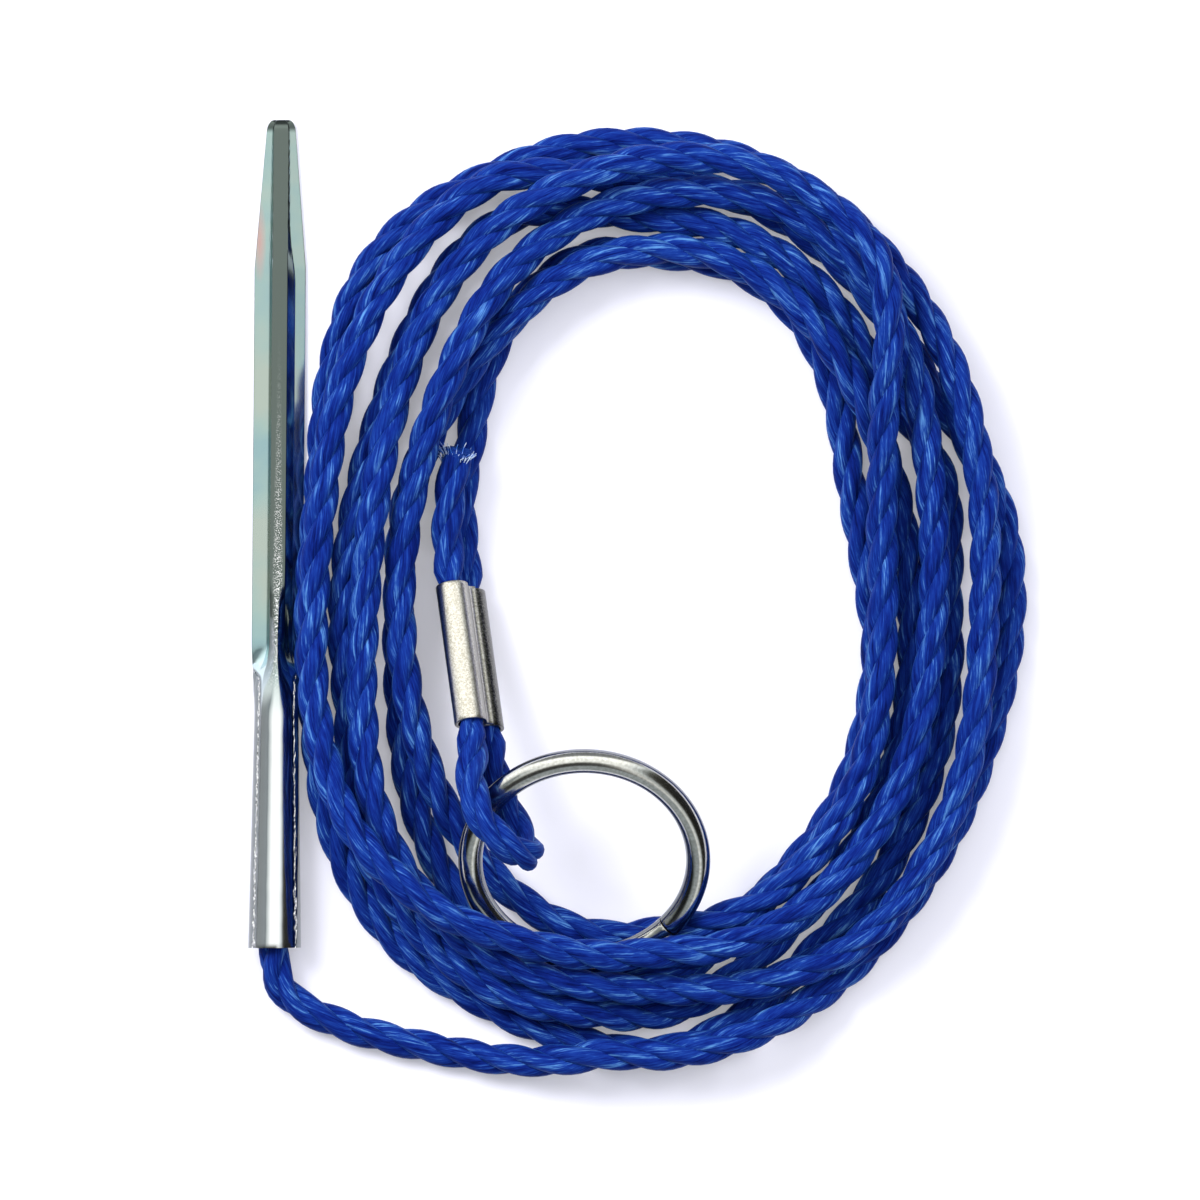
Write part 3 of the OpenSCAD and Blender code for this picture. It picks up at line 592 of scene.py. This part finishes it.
# The dies' line is a small ledge along each side, ragged by about 0.1 mm, with a white glint
# painted along it
long = add(zinc, "ShaderNodeMapping", {"Vector": where, "Scale": (1, 0.4, 1)})
ragged = add(zinc, "ShaderNodeTexNoise", {"Vector": long.outputs["Vector"],
                                          "Scale": 2.2 / mm, "Detail": 2})
ragged = add(zinc, "ShaderNodeMath", {0: ragged.outputs["Fac"], 1: 0.22, 2: mark.outputs["Z"]},
             operation="MULTIPLY_ADD")
glint = add(zinc, "ShaderNodeValToRGB", {"Fac": ragged.outputs["Value"]},
            stops=((0.86, "#000000"), (0.91, "#ffffff"), (0.96, "#000000")))
hue = add(zinc, "ShaderNodeMix", {0: glint.outputs["Color"], 6: hue.outputs[2],
                                  7: linear("#ffffff")}, data_type="RGBA")
lift = add(zinc, "ShaderNodeBump", {"Height": grit.outputs["Fac"],
                                    "Strength": rise.outputs["Value"], "Distance": 0.04 * mm})
ledge = add(zinc, "ShaderNodeMapRange", {"Value": ragged.outputs["Value"], "From Min": 0.87,
                                         "From Max": 0.95}, interpolation_type="SMOOTHSTEP")
lift = add(zinc, "ShaderNodeBump", {"Height": ledge.outputs["Result"], "Strength": 1,
                                    "Distance": 0.45 * mm, "Normal": lift.outputs["Normal"]})
wire(shader, {"Base Color": hue.outputs[2], "Normal": lift.outputs["Normal"]})
needle.data.materials.append(zinc)
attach(needle, "stringer")
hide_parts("needle")


# Crimp sleeve. One strip of thin tinned steel rolled round both legs of the eye into two
# barrels on a flat back, its two ends pressed down side by side between them.
strip_t, bore_r = 0.45, 1.6
strip_r = bore_r + strip_t
seam_side = -sleeve_face
# The lower barrel has a dark reflection painted past this line beside the valley, fully after the
# run
shade_line, shade_run = -0.15, 0.4
# The strip in section, from its end in the low barrel's side of the valley, round that
# barrel, along the flat back, round the high barrel, to a lip that laps over the valley
strip_line = ([(-0.1, 0.1), (-0.12, 0.55), (-0.3, 1.0)]
              + [(-barrel_pitch / 2 + strip_r * cos(radians(a)), strip_r * sin(radians(a)))
                 for a in range(40, 271, 6)]
              + [(barrel_pitch / 2 * f, -strip_r) for f in (-0.7, -0.35, 0, 0.35, 0.7)]
              + [(barrel_pitch / 2 + strip_r * cos(radians(a)), strip_r * sin(radians(a)))
                 for a in range(-90, 133, 6)]
              + [(0.45, 1.5), (0.2, 1.55), (-0.1, 1.72), (-0.4, 1.95)])
strip_runs = [0]
for a, b in zip(strip_line, strip_line[1:]):
    strip_runs.append(strip_runs[-1] + hypot(b[0] - a[0], b[1] - a[1]))
sleeve_shape = bmesh.new()
bmesh.ops.create_grid(sleeve_shape, x_segments=140, y_segments=36, size=1)
painted_barrel_shade = sleeve_shape.verts.layers.float.new("painted_barrel_shade")
for vertex in sleeve_shape.verts:
    at = strip_runs[-1] * (vertex.co.x + 1) / 2
    k = max(i for i in range(len(strip_runs) - 1) if strip_runs[i] <= at + 1e-9)
    f = (at - strip_runs[k]) / (strip_runs[k + 1] - strip_runs[k])
    x = strip_line[k][0] + (strip_line[k + 1][0] - strip_line[k][0]) * f
    y = strip_line[k][1] + (strip_line[k + 1][1] - strip_line[k][1]) * f
    along = sleeve_l * (vertex.co.y + 1) / 2
    vertex[painted_barrel_shade] = min(1, max(0, (shade_line - x) / shade_run))
    vertex.co = (sleeve_top + sleeve_across * x + seam_side * y + sleeve_dir * along) * mm


def off_sleeve_axis(face):
    """The way from the sleeve's middle line to a face."""
    to_face = face.calc_center_median() - sleeve_top * mm
    return to_face - sleeve_dir * to_face.dot(sleeve_dir)


sleeve = sheet_piece("crimp_sleeve_strip", sleeve_shape, off_sleeve_axis, strip_t, 0.08)

# Tinned steel strip: a warm, fairly bright metal, crinkled where the crimping tool bent it.
# The lower barrel has a painted dark reflection, and painted shade darkens the metal where
# it is seen at a slant.
tin, shader = new_material("tinned_steel_strip", 1, 0.28)
where = add(tin, "ShaderNodeTexCoord").outputs["Object"]
# Crinkles of 0.1 mm are drawn at about 0.2 mm so that they show
grit = add(tin, "ShaderNodeTexNoise", {"Vector": where, "Scale": 4.5 / mm, "Detail": 3,
                                       "Distortion": 0.6})
hue = add(tin, "ShaderNodeValToRGB", {"Fac": grit.outputs["Fac"]},
          stops=((0.4, "#c4bfae"), (0.5, "#dcd8ca"), (0.6, "#eeebe0")))
barrel_shade = add(tin, "ShaderNodeAttribute", attribute_name="painted_barrel_shade")
# Painted dark reflection on the lower barrel, crinkled like the rest
barrel_dark_reflection = add(tin, "ShaderNodeValToRGB", {"Fac": grit.outputs["Fac"]},
              stops=((0.45, "#46453e"), (0.66, "#8c8b82")))
hue = add(tin, "ShaderNodeMix", {0: barrel_shade.outputs["Fac"], 6: hue.outputs["Color"],
                                 7: barrel_dark_reflection.outputs["Color"]}, data_type="RGBA")
# Painted shade: the metal is darkened where it is seen at a slant
slant_shade = add(tin, "ShaderNodeLayerWeight")
slant_shade = add(tin, "ShaderNodeMapRange", {"Value": slant_shade.outputs["Facing"], "From Min": 0.28,
                                        "From Max": 0.55, "To Max": 0.75})
hue = add(tin, "ShaderNodeMix", {0: slant_shade.outputs["Result"], 6: hue.outputs[2],
                                 7: linear("#6c6c68")}, data_type="RGBA")
lift = add(tin, "ShaderNodeBump", {"Height": grit.outputs["Fac"], "Strength": 0.5,
                                   "Distance": 0.05 * mm})
wire(shader, {"Base Color": hue.outputs[2], "Normal": lift.outputs["Normal"]})
sleeve.data.materials.append(tin)
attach(sleeve, "stringer")
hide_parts("crimp_sleeve")


# Ring. One length of bright zinc-plated steel wire bent round, its two cut ends butted
# and not welded, so that a dark line shows between them.
ring_centre = Vector((13.155, -39.311, 12.024))
ring_r, wire_d, ring_tilt, butt_angle, butt_gap = 14.22, 3.05, radians(29.6), -42, 0.25
gap_turn, arc_steps = degrees(butt_gap / ring_r), 180
arc = []
for k in range(arc_steps + 1):
    a = radians(butt_angle + gap_turn / 2 + (360 - gap_turn) * k / arc_steps)
    flat = Vector((ring_r * cos(a), ring_r * sin(a) * cos(ring_tilt),
                   ring_r * sin(a) * sin(ring_tilt)))
    arc.append((ring_centre + flat, 1))
ring = piece_from_curve("butted_ring", [arc], wire_d / 2, 28)
weld(ring)
round_edges(ring, 0.12)

# Bright zinc on drawn wire: a soft mirror, slightly mottled, with painted shade that
# darkens it where it is seen at a slant. The mottles are about 0.4 mm wide
bright, shader = new_material("bright_zinc_wire", 1, 0.16)
where = add(bright, "ShaderNodeTexCoord").outputs["Object"]
cloud = add(bright, "ShaderNodeTexNoise", {"Vector": where, "Scale": 2.5 / mm, "Detail": 4})
hue = add(bright, "ShaderNodeValToRGB", {"Fac": cloud.outputs["Fac"]},
          stops=((0.35, "#c8c8c0"), (0.65, "#dadbd4")))
# Painted shade: the wire is darkened where it is seen at a slant
slant_shade = add(bright, "ShaderNodeLayerWeight")
slant_shade = add(bright, "ShaderNodeMapRange", {"Value": slant_shade.outputs["Facing"], "From Min": 0.25,
                                           "From Max": 0.5, "To Max": 0.8})
hue = add(bright, "ShaderNodeMix", {0: slant_shade.outputs["Result"], 6: hue.outputs["Color"],
                                    7: linear("#6a7078")}, data_type="RGBA")
lift = add(bright, "ShaderNodeBump", {"Height": cloud.outputs["Fac"], "Strength": 0.15,
                                      "Distance": 0.02 * mm})
wire(shader, {"Base Color": hue.outputs[2], "Normal": lift.outputs["Normal"]})
ring.data.materials.append(bright)
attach(ring, "ring")
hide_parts("ring")


# Floor and light. A plain sweep of white paper that keeps the stringer's shadow, three
# soft lamps from the left, the right and above, and the room that the metals mirror.
floor_shape = bmesh.new()
bmesh.ops.create_grid(floor_shape, x_segments=1, y_segments=1, size=2)
floor = piece_from_shape("floor", floor_shape)
# Matt paper with no shine. It also glows where it is seen, mirrored or seen through, so
# that it is white there, and this glow lights nothing
paper, shader = new_material("white_paper_sweep", 0, 0.9)
seen = add(paper, "ShaderNodeLightPath")
glow = add(paper, "ShaderNodeMath", {0: seen.outputs["Is Camera Ray"],
                                     1: seen.outputs["Is Glossy Ray"]}, operation="ADD")
glow = add(paper, "ShaderNodeMath", {0: glow.outputs["Value"],
                                     1: seen.outputs["Is Transmission Ray"]}, operation="ADD")
glow = add(paper, "ShaderNodeMath", {0: glow.outputs["Value"], 1: 0.25}, operation="MULTIPLY")
wire(shader, {"Base Color": linear("#d2d2e0"), "Specular IOR Level": 0,
              "Emission Color": (1, 1, 1, 1), "Emission Strength": glow.outputs["Value"]})
floor.data.materials.append(paper)

world = bpy.data.worlds.new("studio")
scene.world = world
world.use_nodes = True
sky = world.node_tree.nodes["Background"]
ray = add(world, "ShaderNodeTexCoord").outputs["Generated"]
# A wide light above and behind, in a room that is grey on the left and dark on the right
# and in front. The left side clears towards the back, and the front clears to the right
up = add(world, "ShaderNodeSeparateXYZ", {"Vector": ray})
behind = add(world, "ShaderNodeMath", {0: up.outputs["Y"], 1: 0.0}, operation="MAXIMUM")
skewed = add(world, "ShaderNodeMath", {0: behind.outputs["Value"], 1: -0.3,
                                       2: up.outputs["X"]}, operation="MULTIPLY_ADD")
level = add(world, "ShaderNodeMapRange", {"Value": up.outputs["Y"], "From Min": 0.15,
                                          "From Max": 0.35, "To Min": 1.0, "To Max": 0.1})
front = add(world, "ShaderNodeMapRange", {"Value": up.outputs["X"], "From Min": 0.1,
                                          "From Max": 0.25, "To Min": 1.0, "To Max": 0.35})
# Each row is a way through the room, how much its tones count, and its tones from end to
# end: left to right, skewed to the right and back, and twice front to back
glow = (1, 1, 1, 1)
for way, share, stops in (
        (up.outputs["X"], level.outputs["Result"],
         ((0, "#7c8082"), (0.15, "#80868a"), (0.17, "#4a5254"), (0.2, "#b4babc"),
          (0.25, "#cbcfd0"), (0.34, "#ffffff"))),
        (skewed.outputs["Value"], 1.0,
         ((0.65, "#ffffff"), (0.745, "#bcc2c6"), (0.79, "#403e3a"), (0.86, "#242320"),
          (1, "#242428"))),
        (up.outputs["Y"], front.outputs["Result"],
         ((0, "#8e9498"), (0.12, "#8e9498"), (0.17, "#363638"), (0.35, "#40403e"),
          (0.42, "#d2d2d0"), (0.48, "#ffffff"))),
        (up.outputs["Y"], 1.0,
         ((0.45, "#dcdcdc"), (0.68, "#e6e6e6"), (0.77, "#ffffff"), (0.85, "#f4f4f4"),
          (0.9, "#747678"), (1, "#626468")))):
    place = add(world, "ShaderNodeMapRange", {"Value": way, "From Min": -1.0, "From Max": 1.0})
    band = add(world, "ShaderNodeValToRGB", {"Fac": place.outputs["Result"]}, stops=stops)
    glow = add(world, "ShaderNodeMix", {0: share, 6: glow, 7: band.outputs["Color"]},
               data_type="RGBA", blend_type="MULTIPLY").outputs[2]
wire(sky, {"Color": glow, "Strength": 1.8})

# The lamps shape the shadow and stay out of the mirrors
for name, spot, size, power in (("left_light", (-420, 300, 600), 340, 6),
                                ("right_light", (520, 60, 480), 300, 1.8),
                                ("top_light", (0, 60, 700), 400, 0.8)):
    lamp = bpy.data.lights.new(name, "AREA")
    lamp.shape, lamp.size, lamp.energy = "SQUARE", size * mm, power
    holder = placed(name, lamp)
    holder.location = Vector(spot) * mm
    holder.rotation_euler = (-Vector(spot)).to_track_quat("-Z", "Y").to_euler()
    holder.visible_glossy = False
